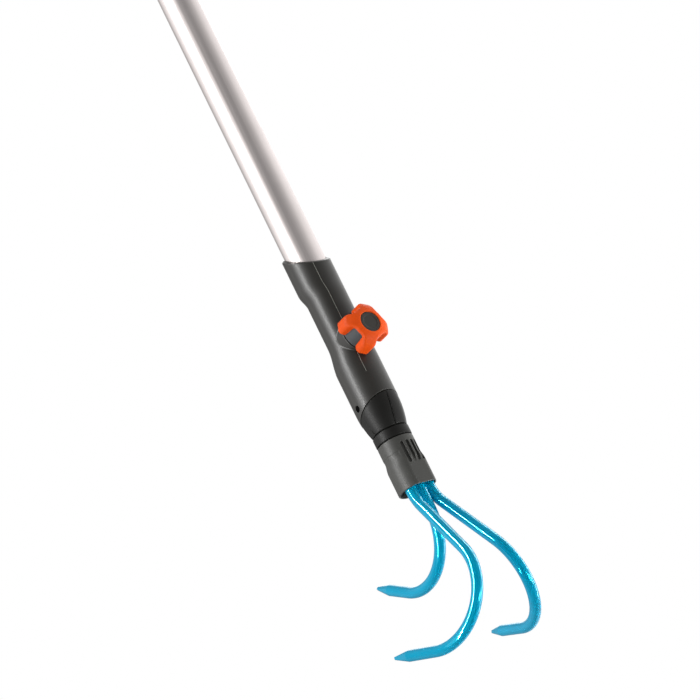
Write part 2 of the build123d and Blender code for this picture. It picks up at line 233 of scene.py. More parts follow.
def surface_net(name, field, low, high, cell):
    """Closed mesh of the surface where field(x, y, z) is 0; the field is negative inside."""
    low = np.array(low, float) - 1.5 * cell
    count = np.ceil((np.array(high, float) + 1.5 * cell - low) / cell).astype(int) + 1
    axes = [low[i] + cell * np.arange(count[i]) for i in range(3)]
    values = np.broadcast_to(field(*np.meshgrid(*axes, indexing="ij", sparse=True)), count)
    inside = values < 0
    offsets = np.array([(a, b, c) for a in (0, 1) for b in (0, 1) for c in (0, 1)])
    filled = np.zeros(count - 1, np.int8)
    for a, b, c in offsets:
        filled += inside[a : a + count[0] - 1, b : b + count[1] - 1, c : c + count[2] - 1]
    cells = np.argwhere((filled > 0) & (filled < 8))
    at = cells[:, None, :] + offsets
    corner = values[at[..., 0], at[..., 1], at[..., 2]]
    total = np.zeros((len(cells), 3))
    hits = np.zeros(len(cells))
    for i in range(8):
        for j in range(i + 1, 8):
            if abs(offsets[i] - offsets[j]).sum() != 1:
                continue
            crossed = (corner[:, i] < 0) != (corner[:, j] < 0)
            share = corner[:, i] / np.where(crossed, corner[:, i] - corner[:, j], 1)
            total += crossed[:, None] * (offsets[i] + share[:, None] * (offsets[j] - offsets[i]))
            hits += crossed
    points = low + cell * (cells + total / hits[:, None])
    for _ in range(4):
        slope = gradient(field, points, cell / 20)
        push = field(*points.T) / np.maximum((slope**2).sum(1), 0.1)
        points -= np.clip(push, -cell / 2, cell / 2)[:, None] * slope
    index = np.full(count - 1, -1)
    index[tuple(cells.T)] = np.arange(len(cells))
    quads = []
    for axis in range(3):
        a, b = (axis + 1) % 3, (axis + 2) % 3
        near = inside.take(range(count[axis] - 1), axis)
        far = inside.take(range(1, count[axis]), axis)
        edges = np.argwhere(near != far)
        quad = []
        for da, db in ((-1, -1), (0, -1), (0, 0), (-1, 0)):
            spot = edges.copy()
            spot[:, a] += da
            spot[:, b] += db
            quad.append(index[tuple(spot.T)])
        quad = np.stack(quad, 1)
        leaving = near[tuple(edges.T)]
        quad[~leaving] = quad[~leaving][:, ::-1]
        quads.append(quad)
    normals = gradient(field, points, cell / 8)
    normals /= np.linalg.norm(normals, axis=1)[:, None]
    return new_object(name, points, np.concatenate(quads), normals)


def sharp_edges(piece, angle):
    """Marks edges sharper than the angle, in degrees, so that they shade crisply."""
    piece.data.set_sharp_from_angle(angle=radians(angle))


def lathe(name, profile, segments=160):
    """Closed ring turned round the X axis from a profile of (along, radius) points."""
    angle = np.arange(segments) * tau / segments
    rings = []
    for along, radius in profile:
        across, up = radius * np.cos(angle), radius * np.sin(angle)
        rings.append(np.stack([np.full(segments, along), across, up], 1))
    faces = []
    for i in range(len(profile)):
        j = (i + 1) % len(profile)
        for s in range(segments):
            t = (s + 1) % segments
            faces.append((i * segments + s, i * segments + t, j * segments + t, j * segments + s))
    piece = new_object(name, np.concatenate(rings), faces)
    sharp_edges(piece, 35)
    return piece


def rounded_corner(before, at, after, radius, steps=6):
    """Profile points of an arc that rounds the corner at, between its neighbours before and after."""
    before, at, after = (np.array(p, float) for p in (before, at, after))
    u = (before - at) / np.linalg.norm(before - at)
    v = (after - at) / np.linalg.norm(after - at)
    half = np.arccos(np.clip(u @ v, -1, 1)) / 2
    reach = radius / np.tan(half)
    centre = at + (u + v) / np.linalg.norm(u + v) * radius / np.sin(half)
    start, end = at + u * reach - centre, at + v * reach - centre
    turn = np.arccos(np.clip(start @ end / radius**2, -1, 1))
    out = []
    for i in range(steps + 1):
        f = i / steps
        mix = (np.sin((1 - f) * turn) * start + np.sin(f * turn) * end) / np.sin(turn)
        out.append(tuple(centre + mix))
    return out


def rounded_profile(corners):
    """Closed lathe profile from (along, radius, corner radius) triples."""
    profile = []
    for i, (along, radius, bend) in enumerate(corners):
        before, after = corners[i - 1][:2], corners[(i + 1) % len(corners)][:2]
        if bend:
            profile += rounded_corner(before, (along, radius), after, bend)
        else:
            profile.append((along, radius))
    return profile


# ---- materials ----
def new_material(name):
    """Empty node material with its Principled shader: (material, nodes, links, shader)."""
    material = bpy.data.materials.new(name)
    material.use_nodes = True
    nodes, links = material.node_tree.nodes, material.node_tree.links
    return material, nodes, links, nodes["Principled BSDF"]


def noise(nodes, links, coords, scale, detail=3.0, stretch=None):
    """Noise texture on the row frame's coordinates, scale in features per metre."""
    if stretch:
        mapping = nodes.new("ShaderNodeMapping")
        mapping.inputs["Scale"].default_value = stretch
        links.new(coords, mapping.inputs["Vector"])
        coords = mapping.outputs["Vector"]
    texture = nodes.new("ShaderNodeTexNoise")
    texture.inputs["Scale"].default_value = scale
    texture.inputs["Detail"].default_value = detail
    links.new(coords, texture.inputs["Vector"])
    return texture.outputs["Fac"]


def spread(nodes, links, value, low, high, start=0.3, end=0.7):
    """Maps a value from start..end to low..high."""
    ranged = nodes.new("ShaderNodeMapRange")
    ranged.inputs["From Min"].default_value = start
    ranged.inputs["From Max"].default_value = end
    ranged.inputs["To Min"].default_value = low
    ranged.inputs["To Max"].default_value = high
    links.new(value, ranged.inputs["Value"])
    return ranged.outputs["Result"]


def mix_colour(nodes, links, factor, a, b):
    """Mixes two colours, each a tuple or a socket."""
    mix = nodes.new("ShaderNodeMix")
    mix.data_type = "RGBA"
    links.new(factor, mix.inputs["Factor"])
    for value, socket in ((a, mix.inputs["A"]), (b, mix.inputs["B"])):
        if isinstance(value, tuple):
            socket.default_value = (*value, 1)
        else:
            links.new(value, socket)
    return mix.outputs["Result"]


def bump(nodes, links, height, distance, strength):
    """Bump node fed by a height, distance in metres."""
    node = nodes.new("ShaderNodeBump")
    node.inputs["Distance"].default_value = distance
    node.inputs["Strength"].default_value = strength
    links.new(height, node.inputs["Height"])
    return node.outputs["Normal"]


def place_in_object(nodes):
    """Coordinates that stay with the piece when its body moves."""
    return nodes.new("ShaderNodeTexCoord").outputs["Object"]


def mottle(nodes, links, pattern, a, b):
    """Colour that wanders between a and b with a noise pattern."""
    return mix_colour(nodes, links, spread(nodes, links, pattern, 0, 1), a, b)


def rubbed_edges(nodes, links):
    """1 on convex edges and 0 elsewhere."""
    pointiness = nodes.new("ShaderNodeNewGeometry").outputs["Pointiness"]
    return spread(nodes, links, pointiness, 0, 1, 0.52, 0.60)


def moulded(name, colour, worn, roughness, grain=3500, relief=0.00003, specular=0.5):
    """Moulded plastic: fine eroded grain, slight flow mottling, and paler rubbed edges."""
    material, nodes, links, shader = new_material(name)
    coords = place_in_object(nodes)
    flow = noise(nodes, links, coords, scale=90, detail=4)
    fine = noise(nodes, links, coords, scale=grain, detail=2)
    darker = tuple(c * 0.86 for c in colour)
    body = mottle(nodes, links, flow, darker, colour)
    tone = mix_colour(nodes, links, rubbed_edges(nodes, links), body, worn)
    links.new(tone, shader.inputs["Base Color"])
    rough = spread(nodes, links, flow, roughness - 0.015, roughness + 0.02)
    links.new(rough, shader.inputs["Roughness"])
    links.new(bump(nodes, links, fine, relief, 0.35), shader.inputs["Normal"])
    shader.inputs["Specular IOR Level"].default_value = specular
    return material


def anodised(name):
    """Satin anodised tube: drawn lines along X, bright but soft reflections."""
    material, nodes, links, shader = new_material(name)
    coords = place_in_object(nodes)
    drawn = noise(nodes, links, coords, scale=260, detail=5, stretch=(0.02, 6, 6))
    cloud = noise(nodes, links, coords, scale=35, detail=3)
    tone = mottle(nodes, links, cloud, (0.76, 0.70, 0.685), (0.81, 0.745, 0.73))
    links.new(tone, shader.inputs["Base Color"])
    shader.inputs["Metallic"].default_value = 1.0
    links.new(spread(nodes, links, drawn, 0.30, 0.40), shader.inputs["Roughness"])
    links.new(bump(nodes, links, drawn, 0.00002, 0.25), shader.inputs["Normal"])
    return material


def coated_rod(name):
    """Gloss turquoise powder coat on steel rod: deep colour, clear gloss, faint orange peel."""
    material, nodes, links, shader = new_material(name)
    coords = place_in_object(nodes)
    peel = noise(nodes, links, coords, scale=220, detail=2)
    cloud = noise(nodes, links, coords, scale=60, detail=3)
    body = mottle(nodes, links, cloud, (0.0, 0.29, 0.48), (0.0, 0.32, 0.52))
    tone = mix_colour(nodes, links, rubbed_edges(nodes, links), body, (0.0, 0.36, 0.56))
    links.new(tone, shader.inputs["Base Color"])
    shader.inputs["Roughness"].default_value = 0.10
    shader.inputs["Specular Tint"].default_value = (0.0, 0.80, 1.0, 1)
    shader.inputs["Coat Weight"].default_value = 0.12
    shader.inputs["Coat Roughness"].default_value = 0.03
    links.new(bump(nodes, links, peel, 0.000004, 0.15), shader.inputs["Normal"])
    return material


def plated_steel(name):
    """Zinc-plated steel: pale, slightly blotched, half gloss."""
    material, nodes, links, shader = new_material(name)
    blotch = noise(nodes, links, place_in_object(nodes), scale=400, detail=4)
    tone = mottle(nodes, links, blotch, (0.48, 0.50, 0.52), (0.66, 0.66, 0.62))
    links.new(tone, shader.inputs["Base Color"])
    shader.inputs["Metallic"].default_value = 1.0
    links.new(spread(nodes, links, blotch, 0.25, 0.42), shader.inputs["Roughness"])
    return material


# Each moulding has its colour, then the paler colour of its rubbed edges.
COUPLING = moulded(
    "coupling plastic", (0.019, 0.0175, 0.0145), (0.04, 0.038, 0.034),
    roughness=0.34, grain=2600, relief=0.000006, specular=0.62,
)
NECK = moulded(
    "neck plastic", (0.009, 0.0088, 0.0078), (0.022, 0.021, 0.019),
    roughness=0.42, grain=3000, relief=0.00002, specular=0.24,
)
SOCKET = moulded(
    "socket plastic", (0.056, 0.056, 0.051), (0.085, 0.082, 0.075),
    roughness=0.42, grain=3000, specular=0.45,
)
INNER = moulded("inner plastic", (0.03, 0.03, 0.03), (0.07, 0.07, 0.07), roughness=0.50)
# Pins and tine core: black plastic, made near-black and without any reflection so that they also paint
# the shade of the recesses they sit in.
PIN_BLACK_AND_SHADE = moulded(
    "pin plastic and painted shade", (0.002, 0.002, 0.002), (0.004, 0.004, 0.004),
    roughness=0.7, specular=0.0,
)
ORANGE = moulded(
    "knob orange", (0.86, 0.086, 0.003), (0.88, 0.13, 0.01),
    roughness=0.5, grain=2600, relief=0.00002, specular=0.15,
)
GREY = moulded(
    "knob grey", (0.048, 0.054, 0.060), (0.08, 0.09, 0.10),
    roughness=0.45, grain=3000, specular=0.4,
)
DISC = moulded(
    "disc grey", (0.034, 0.030, 0.026), (0.05, 0.045, 0.04),
    roughness=0.5, grain=3000, specular=0.3,
)
# Flat pale colour that draws the thin line along the coupling.
STRIPE = moulded("pale stripe", (0.30, 0.31, 0.27), (0.34, 0.35, 0.31), roughness=0.4)
END = moulded("end plastic", (0.018, 0.018, 0.017), (0.06, 0.06, 0.056), roughness=0.48)
ALUMINIUM = anodised("anodised aluminium")
TURQUOISE = coated_rod("turquoise coating")
STEEL = plated_steel("zinc plate")


def finish_piece(piece, material, node, body):
    """Gives a piece its material and body, and lets it stand for its CAD node, if it has one."""
    piece.data.materials.clear()
    piece.data.materials.append(material)
    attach(piece, body)
    if node:
        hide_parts(node)


# ---- coupling: shell and neck insert share one outer form ----
def coupling_section(x):
    """Radius and lifted centre of the coupling's round section at x."""
    into = fade(x, SCOOP_X, WAIST_X)
    out = fade(x, WAIST_END_X, SWELL_X)
    radius = SKIRT_R + (WAIST_R - SKIRT_R) * into + (SWELL_R - WAIST_R) * out
    drop = SWELL_R - NECK_END_R
    arc_r = ((NECK_END_X - TAPER_X) ** 2 + drop**2) / (2 * drop)
    over = np.clip(x - TAPER_X, 0, arc_r / 2)
    return radius - arc_r + np.sqrt(arc_r**2 - over**2), WAIST_LIFT * (into - out)


def coupling_surface(x, y, z):
    """Distance to the coupling's outer form."""
    radius, lift = coupling_section(x)
    return np.hypot(y, z - lift) - radius


def slant(x, z, at, slope):
    """Distance past a slanted plane that crosses the axis at x = at."""
    return (x - at - slope * z) / sqrt(1 + slope**2)


def bore(x, y, z, radius, start, end):
    """Distance to a round bar along X."""
    return np.maximum(np.hypot(y, z) - radius, np.maximum(start - x, x - end))


def pin_holes(x, z):
    """Distance to the cross hole of the snap pins."""
    return np.hypot(x - PIN_X, z - PIN_Z) - PIN_R


def shell_field(x, y, z):
    """Coupling shell: slanted rim with a chamfered lip, screw boss, seam, bores and nut pocket."""
    beside = np.hypot(x - KNOB_X, y)
    boss = round_max(beside - BOSS_R, np.maximum(z - BOSS_Z, -z), r=0.45)
    solid = round_min(coupling_surface(x, y, z), boss, r=0.4)
    rim = round_max(-slant(x, z, RIM_X, RIM_SLOPE), RIM_LOW_X - x, r=RIM_CORNER_R)
    solid = round_max(solid, rim, r=0.4)
    reach = np.maximum(np.hypot(y, z), 1)
    lip = RIM_X + LIP_RISE + RIM_SLOPE * SKIRT_R * z / reach - LIP_SLOPE * (SKIRT_R - reach)
    solid = round_max(solid, (lip - x) / sqrt(1 + LIP_SLOPE**2), r=0.3)
    solid = round_max(solid, slant(x, z, SEAM_X - SEAM_GAP, SEAM_SLOPE), r=0.1)
    tube_bore = bore(x, y, z, TUBE_BORE_R, -FAR_X, TUBE_BORE_X)
    peg_bore = bore(x, y, z, BORE_R, 0, FAR_X)
    sleeve_bore = bore(x, y, z, SLEEVE_R + SEAT_GAP, SLEEVE_X, FAR_X)
    hollow = np.minimum(tube_bore, np.minimum(peg_bore, sleeve_bore))
    solid = round_max(solid, -hollow, r=0.35)
    solid = round_max(solid, -pin_holes(x, z), r=0.30)
    screw = np.maximum(beside - SCREW_HOLE_R, -z)
    hexagon = np.maximum(abs(y), abs(sqrt(0.75) * (x - KNOB_X)) + abs(y) / 2) - NUT_FLATS / 2
    nut = np.maximum(hexagon, np.maximum(z - NUT_TOP, -z))
    return np.maximum(solid, -np.minimum(screw, nut))


def between(x, start, end):
    """Value at x on the straight line through two (along, value) places, level past its ends."""
    share = np.clip((x - start[0]) / (end[0] - start[0]), 0, 1)
    return start[1] + (end[1] - start[1]) * share


def line_groove(x, y, z, start, end, width):
    """Distance to a thin channel between two (along, around) places on the neck's skin."""
    lean = np.radians(between(x, start, end))
    side = y * np.cos(lean) - z * np.sin(lean)
    ahead = np.maximum(start[0] - x, x - end[0])
    facing = -(y * np.sin(lean) + z * np.cos(lean))
    return np.maximum(np.maximum(abs(side) - width / 2, ahead), facing)


def neck_skin(x, y, z):
    """Distance to the neck's outside: sunk, with a raised panel, two side facets and two fine lines."""
    form = coupling_surface(x, y, z)
    around = np.degrees(np.arctan2(y, z))
    edge = between(x, *PANEL_EDGE)
    panel = PANEL_RISE * fade(around, edge, edge + PANEL_EDGE_WIDTH)
    panel = panel * fade(around, *PANEL_FAR_FADE) * fade(x, *PANEL_X_FADE)
    from_below = np.degrees(np.arctan2(abs(y), -z))
    facet = FACET_DEPTH * fade(from_below, *FACET_TOP_FADE) * fade(from_below, *FACET_LOW_FADE)
    skin = form - panel + NECK_SINK + facet * fade(x, *FACET_X_FADE)
    lines = np.minimum(line_groove(x, y, z, *TOP_LINE), line_groove(x, y, z, *SIDE_LINE))
    skin = np.maximum(skin, -np.maximum(lines, -LINE_DEPTH - form))
    return np.maximum(skin, form)


def neck_field(x, y, z):
    """Neck insert: the coupling's lower end behind the seam, with a sleeve inside the shell."""
    outer = round_max(neck_skin(x, y, z), x - NECK_END_X + 0.1, r=0.7)
    outer = round_max(outer, -slant(x, z, SEAM_X + SEAM_GAP, SEAM_SLOPE), r=0.1)
    ends = np.maximum(SLEEVE_X - x, x - SLEEVE_END_X)
    sleeve = round_max(np.hypot(y, z) - SLEEVE_R, ends, r=0.5)
    socket = np.maximum(bore(x, y, z, BORE_R, 0, FAR_X), z - PEG_FLAT_Z - RUN_GAP)
    solid = round_max(np.minimum(outer, sleeve), -socket, r=0.35)
    return round_max(solid, -pin_holes(x, z), r=0.2)


def make_pinstripe():
    """Thin pale line inlaid along the coupling, broken where the screw boss stands."""
    lean = radians(STRIPE_AROUND)
    steps = 60
    outline = ((-1, -STRIPE_SINK), (1, -STRIPE_SINK), (1, STRIPE_RISE), (-1, STRIPE_RISE))
    points, faces = [], []
    for start, end in STRIPE_RUNS:
        first = len(points)
        for i in range(steps + 1):
            x = start + (end - start) * i / steps
            radius, lift = coupling_section(x)
            for side, rise in outline:
                reach = radius + rise
                angle = lean + side * STRIPE_HALF / radius
                points.append((x, reach * sin(angle), lift + reach * cos(angle)))
        for i in range(steps):
            near = first + 4 * i
            for k in range(4):
                j = (k + 1) % 4
                faces.append((near + k, near + j, near + 4 + j, near + 4 + k))
        faces.append((first + 3, first + 2, first + 1, first))
        last = first + 4 * steps
        faces.append((last, last + 1, last + 2, last + 3))
    stripe = new_object("coupling_pinstripe", points, faces, smooth_faces=False)
    finish_piece(stripe, STRIPE, None, "handle")


def make_coupling():
    """Shell, neck insert and the pale line."""
    low = (RIM_LOW_X, *SHELL_LOW[1:])
    shell = surface_net("coupling_shell_moulding", shell_field, low, SHELL_HIGH, cell=0.5)
    finish_piece(shell, COUPLING, "coupling_shell", "handle")
    neck = surface_net("neck_moulding", neck_field, NECK_LOW, NECK_HIGH, cell=0.35)
    finish_piece(neck, NECK, "neck_insert", "handle")
    make_pinstripe()


# ---- knob ----
def box_2d(a, b, half_a, half_b, r):
    """Distance to a rectangle with rounded corners."""
    qa, qb = abs(a) - half_a + r, abs(b) - half_b + r
    return np.hypot(np.maximum(qa, 0), np.maximum(qb, 0)) + np.minimum(np.maximum(qa, qb), 0) - r


def hub_cone(radius, z):
    """Distance to the hub's tapered drum."""
    share = np.clip((z - HUB_Z) / (PLATE_Z - HUB_Z), -0.2, 1.2)
    return radius - (HUB_R + (HUB_TOP_R - HUB_R) * share)


def knob_field(x, y, z):
    """Knob body: a plate on four lobed legs, sloping at the shoulders, hollow for hub and disc."""
    turn = radians(LOBE_TURN)
    a = (x - KNOB_X) * cos(turn) + y * sin(turn)
    b = -(x - KNOB_X) * sin(turn) + y * cos(turn)
    one = box_2d(a, b, LOBE_REACH, LOBE_HALF, LOBE_CORNER_R)
    two = box_2d(a, b, LOBE_HALF, LOBE_REACH, LOBE_CORNER_R)
    legs = np.maximum(round_min(one, two, r=LOBE_CROTCH_R), LEG_Z - z)
    radius = np.hypot(x - KNOB_X, y)
    plate = round_max(radius - PLATE_R, PLATE_Z - z, r=0.6)
    solid = round_min(plate, legs, r=2.2)
    slope = (BROW_Z - SHOULDER_Z) / (LOBE_REACH - BROW_R)
    shoulder = (z - BROW_Z + slope * (np.maximum(abs(a), abs(b)) - BROW_R)) / sqrt(1 + slope**2)
    crown = z - KNOB_TOP + CROWN_SLOPE * np.clip(radius - CROWN_R, 0, None)
    solid = round_max(solid, round_max(shoulder, crown, r=1.0), r=1.6)
    solid = round_max(solid, LEG_Z - z, r=0.7)
    hub_seat = np.maximum(hub_cone(radius, z) - SEAT_GAP, z - PLATE_Z)
    solid = round_max(solid, -hub_seat, r=0.3)
    pocket = np.maximum(radius - DISC_R - DISC_GAP, DISC_LOW[2] - z)
    return round_max(solid, -np.minimum(pocket, radius - SPIGOT_HOLE_R), r=0.35)


def hub_field(x, y, z):
    """Knob hub: tapered drum with a spigot through the body's plate, on the screw's head."""
    radius = np.hypot(x - KNOB_X, y)
    drum = round_max(hub_cone(radius, z), np.maximum(HUB_Z - z, z - PLATE_Z), r=0.4)
    spigot = np.maximum(radius - SPIGOT_R, np.maximum(HUB_Z - z, z - DISC_LOW[2]))
    screw_seat = np.maximum(radius - SCREW_SEAT_R, z - SCREW_SEAT_TOP)
    return np.maximum(np.minimum(drum, spigot), -screw_seat)


def disc_field(x, y, z):
    """Cap disc with a shallow round dish."""
    radius = np.hypot(x - KNOB_X, y)
    dish = z - DISC_HIGH[2] + DISH_DEPTH * (1 - fade(radius, *DISH_FADE))
    return round_max(radius - DISC_R, round_max(dish, DISC_LOW[2] - z, r=0.1), r=0.45)


def make_knob():
    """Lobed body, hub and disc."""
    knob = surface_net("knob_lobes", knob_field, KNOB_LOW, KNOB_HIGH, cell=0.3)
    finish_piece(knob, ORANGE, "knob_body", "knob")
    hub = surface_net("knob_core", hub_field, HUB_LOW, HUB_HIGH, cell=0.35)
    finish_piece(hub, GREY, "knob_hub", "knob")
    disc = surface_net("knob_disc", disc_field, DISC_LOW, DISC_HIGH, cell=0.2)
    finish_piece(disc, DISC, "knob_cap", "knob")


# ---- tool socket and ring ----
def slots(x, y, z):
    """Distance to the round-ended slots in the socket's skin."""
    middle, half = (SLOT_FROM + SLOT_TO) / 2, (SLOT_TO - SLOT_FROM) / 2
    past_end = np.maximum(abs(x - middle) - half + SLOT_WIDTH / 2, 0)
    nearest = FAR_X
    for angle in SLOT_ANGLES:
        lean = radians(angle)
        side = y * cos(lean) - z * sin(lean)
        rise = y * sin(lean) + z * cos(lean)
        slot = np.maximum(np.hypot(past_end, side) - SLOT_WIDTH / 2, SOCKET_R - SLOT_DEPTH - rise)
        nearest = np.minimum(nearest, slot)
    return nearest


def socket_field(x, y, z):
    """Tool socket: flared barrel with a flat towards the knob side, a fine step, slots and a mouth."""
    from_axis = np.hypot(y, z)
    step = fade(x, *STEP_FADE) * fade(x, *STEP_END_FADE)
    step = STEP_DEPTH * step * fade(np.degrees(np.arctan2(y, z)), *STEP_AROUND_FADE)
    radius = SOCKET_R + (MOUTH_R - SOCKET_R) * fade(x, FLARE_X, MOUTH_FROM_X) - step
    flat_z = FLAT_START_Z + (MOUTH_FLAT_Z - FLAT_START_Z) * fade(x, FLARE_X, FLARE_X + FLAT_RUN)
    outer = round_max(from_axis - radius, z - flat_z, r=0.8)
    outer = round_max(outer, np.maximum(SOCKET_LOW[0] - x, x - MOUTH_X), r=0.6)
    inner_r, inner_flat = MOUTH_R - MOUTH_WALL, MOUTH_FLAT_Z - MOUTH_WALL
    cavity = round_max(from_axis - inner_r, z - inner_flat, r=0.5)
    cavity = np.maximum(cavity, PLATE_LOW[0] - x)
    peg = np.maximum(from_axis - PEG_R - SEAT_GAP, x - PEG_HIGH[0])
    solid = round_max(outer, -np.minimum(cavity, peg), r=0.35)
    return round_max(solid, -slots(x, y, z), r=0.3)


def make_socket():
    """Tool socket, and the ring between two grooves."""
    socket = surface_net("socket_moulding", socket_field, SOCKET_LOW, SOCKET_HIGH, cell=0.35)
    finish_piece(socket, SOCKET, "tool_socket", "tool_head")
    (start, end), outer = (RING_LOW[0], RING_HIGH[0]), RING_HIGH[1]
    inner, step = PEG_R + SEAT_GAP, outer - RING_STEP
    corners = [
        (start, inner, 0),
        (start, step, 0),
        (start + RING_GROOVE, step, 0),
        (start + RING_GROOVE, outer, 0.35),
        (end - RING_GROOVE, outer, 0.35),
        (end - RING_GROOVE, step, 0),
        (end, step, 0),
        (end, inner, 0),
    ]
    ring = lathe("collar_band", rounded_profile(corners))
    finish_piece(ring, NECK, "collar_ring", "tool_head")


# ---- handle tube and end cap ----
def make_tube():
    """Drawn tube, slightly narrower inside the coupling."""
    inner, end_r = TUBE_R - TUBE_WALL, TUBE_R - SWAGE_DEPTH
    corners = [
        (TUBE_LOW[0], inner, 0.3),
        (TUBE_LOW[0], TUBE_R, 0.5),
        (SWAGE_X, TUBE_R, 0),
        (SWAGE_END_X, end_r, 0),
        (TUBE_HIGH[0], end_r, 0.4),
        (TUBE_HIGH[0], inner, 0.2),
    ]
    tube = lathe("drawn_tube", rounded_profile(corners), segments=192)
    finish_piece(tube, ALUMINIUM, "handle_tube", "handle")


def end_cap_field(x, y, z):
    """End cap: head and plug round the tube's end, and a tab with the hanging hole."""
    head_x, tail_x = TUBE_LOW[0], CAP_LOW[0]
    around = np.hypot(y, z)
    from_hole = np.hypot(x - HANG_X, y)
    head = round_max(around - TUBE_R, np.maximum(tail_x + CAP_HEAD - x, x - head_x), r=1.8)
    plug_ends = np.maximum(head_x - 1 - x, x - CAP_HIGH[0])
    plug = round_max(around - TUBE_R + TUBE_WALL + SEAT_GAP, plug_ends, r=0.8)
    tab = np.where(x < HANG_X, from_hole, abs(y)) - TAB_WIDE_HALF
    tab = round_max(tab, np.maximum(abs(z) - TAB_THICK_HALF, x - tail_x - CAP_TAB), r=1.2)
    solid = np.minimum(round_min(head, tab, r=2.0), plug)
    solid = round_max(solid, HANG_R - from_hole, r=0.9)
    hollow = np.maximum(around - TUBE_R + CAP_WALL, head_x + CAP_FLOOR - x)
    return round_max(solid, -hollow, r=0.4)


def make_end_cap():
    """Plug with a hanging tab at the handle's far end."""
    cap = surface_net("end_cap_moulding", end_cap_field, CAP_LOW, CAP_HIGH, cell=0.45)
    finish_piece(cap, END, "end_cap", "handle")


# ---- tines ----
def bent(point, heading, towards, angle, radius, steps):
    """Points and headings along an arc that turns from a heading towards a direction."""
    side = (towards - heading * towards.dot(heading)).normalized()
    out = []
    for i in range(1, steps + 1):
        turn = radians(angle) * i / steps
        spot = point + heading * radius * sin(turn) + side * radius * (1 - cos(turn))
        out.append((spot, heading * cos(turn) + side * sin(turn)))
    return out


def straight(point, heading, length, steps):
    """Points and headings along a straight run."""
    return [(point + heading * length * i / steps, heading) for i in range(1, steps + 1)]


def leaning(lean, rise):
    """Direction straight up (rise 1) or down (rise -1), leaning sideways by an angle."""
    return Vector((0, sin(radians(lean)), rise * cos(radians(lean))))


def tine_path(y, lead, lift, run, hook, end):
    """The rod's centre line from the anchor plate to its point, as points and headings.

    lead is how far it goes straight on past the mouth. lift and hook are bends, as (angle, radius,
    sideways lean); run is the straight stretch between them, and end the one after the hook. A rod
    with no lift goes straight into its hook.
    """
    path = [(Vector((PLATE_LOW[0], y, ROW_Z)), Vector((1, 0, 0)))]
    path += straight(*path[-1], MOUTH_X + lead - PLATE_LOW[0], 12)
    if lift:
        angle, radius, lean = lift
        path += bent(*path[-1], leaning(lean, 1), angle, radius, 20)
        path += straight(*path[-1], run, 12)
    angle, radius, lean = hook
    path += bent(*path[-1], leaning(lean, -1), angle, radius, 80)
    path += straight(*path[-1], end - POINT_LENGTH, 8)
    path += straight(*path[-1], POINT_LENGTH, POINT_STEPS)
    return path


def rod_radius(left, angle):
    """The rod's radius at an angle round it, left millimetres from its tip: round, then four-sided."""
    if left >= POINT_LENGTH:
        return ROD_R
    half = POINT_HALF + (ROD_R + POINT_SPARE - POINT_HALF) * left / POINT_FLAT_RUN
    edge = POINT_EDGE + (ROD_R - POINT_EDGE) * left / POINT_EDGE_RUN
    flat = half / max(abs(cos(angle - pi / 4)), abs(sin(angle - pi / 4)))
    return min(ROD_R, flat, edge)


def make_tine(node, *shape, segments=64):
    """A coated rod swept along its path, with a four-sided drawn-out point and a blunted tip."""
    path = tine_path(*shape)
    last = len(path) - 1
    side = Vector((0, 1, 0))
    points = []
    for i, (spot, heading) in enumerate(path):
        side = (side - heading * side.dot(heading)).normalized()
        up = heading.cross(side)
        left = (last - i) / POINT_STEPS * POINT_LENGTH
        for s in range(segments):
            angle = tau * s / segments
            reach = rod_radius(left, angle)
            points.append(spot + (side * cos(angle) + up * sin(angle)) * reach)
    tip, heading = path[-1]
    for s in range(segments):
        edge = points[last * segments + s] - tip
        points.append(tip + edge * TIP_SHARE + heading * TIP_LENGTH)
    faces = [tuple(reversed(range(segments)))]
    for i in range(last + 1):
        a, b = i * segments, (i + 1) * segments
        for s in range(segments):
            t = (s + 1) % segments
            faces.append((a + s, a + t, b + t, b + s))
    faces.append(tuple(range((last + 1) * segments, len(points))))
    tine = new_object(node + "_rod", [tuple(p) for p in points], faces)
    sharp_edges(tine, 40)
    finish_piece(tine, TURQUOISE, node, "tool_head")
    return tine


def make_tines():
    """The three rods, which it returns; the outer two mirror each other."""
    rods = [make_tine("tine_middle", 0, MIDDLE_LEAD, None, None, MIDDLE_HOOK, MIDDLE_END)]
    for side, node in ((-1, "tine_left"), (1, "tine_right")):
        lift = (*OUTER_LIFT[:2], side * OUTER_LIFT[2])
        hook = (*OUTER_HOOK[:2], side * OUTER_HOOK[2])
        rods.append(make_tine(node, side * ROW_PITCH, OUTER_LEAD, lift, OUTER_RUN, hook, OUTER_END))
    return rods


# ---- CAD nodes that keep their own shape ----
def finish_cad_nodes():
    """Materials for the pieces that are left as the CAD made them."""
    kept = {
        "tube_plug": INNER,
        "snap_pins": PIN_BLACK_AND_SHADE,
        "captive_nut": STEEL,
        "clamp_pad": INNER,
        "clamp_screw": STEEL,
        "tool_peg": INNER,
        "anchor_plate": STEEL,
        "tine_core": PIN_BLACK_AND_SHADE,
    }
    for node, material in kept.items():
        mesh = frame["nodes"][node].data
        mesh.materials.clear()
        mesh.materials.append(material)


# ---- studio, in metres and degrees ----
CAMERA_AZIMUTH, CAMERA_ELEVATION, CAMERA_ROLL = 25.76, 46.83, -44.5
CAMERA_DISTANCE, CAMERA_LENS, CAMERA_SENSOR, CAMERA_REACH = 2.8, 216.4, 36, 50
CAMERA_AIM = (0.0856, -0.0196, 0.0235)

LIGHT_AIM = (0.05, 0, 0)
FLOOR_HALF = 6.0
WALL_BANDS = (
    (-180, 0.35),
    (-150, 0.95),
    (-70, 0.85),
    (-50, 0.28),
    (-15, 0.25),
    (20, 0.50),
    (50, 0.95),
    (90, 1.20),
    (138, 1.30),
    (156, 0.35),
)  # angle about +X from +Z towards +Y, and brightness
WALL_END, WALL_END_FROM = 0.5, 0.75


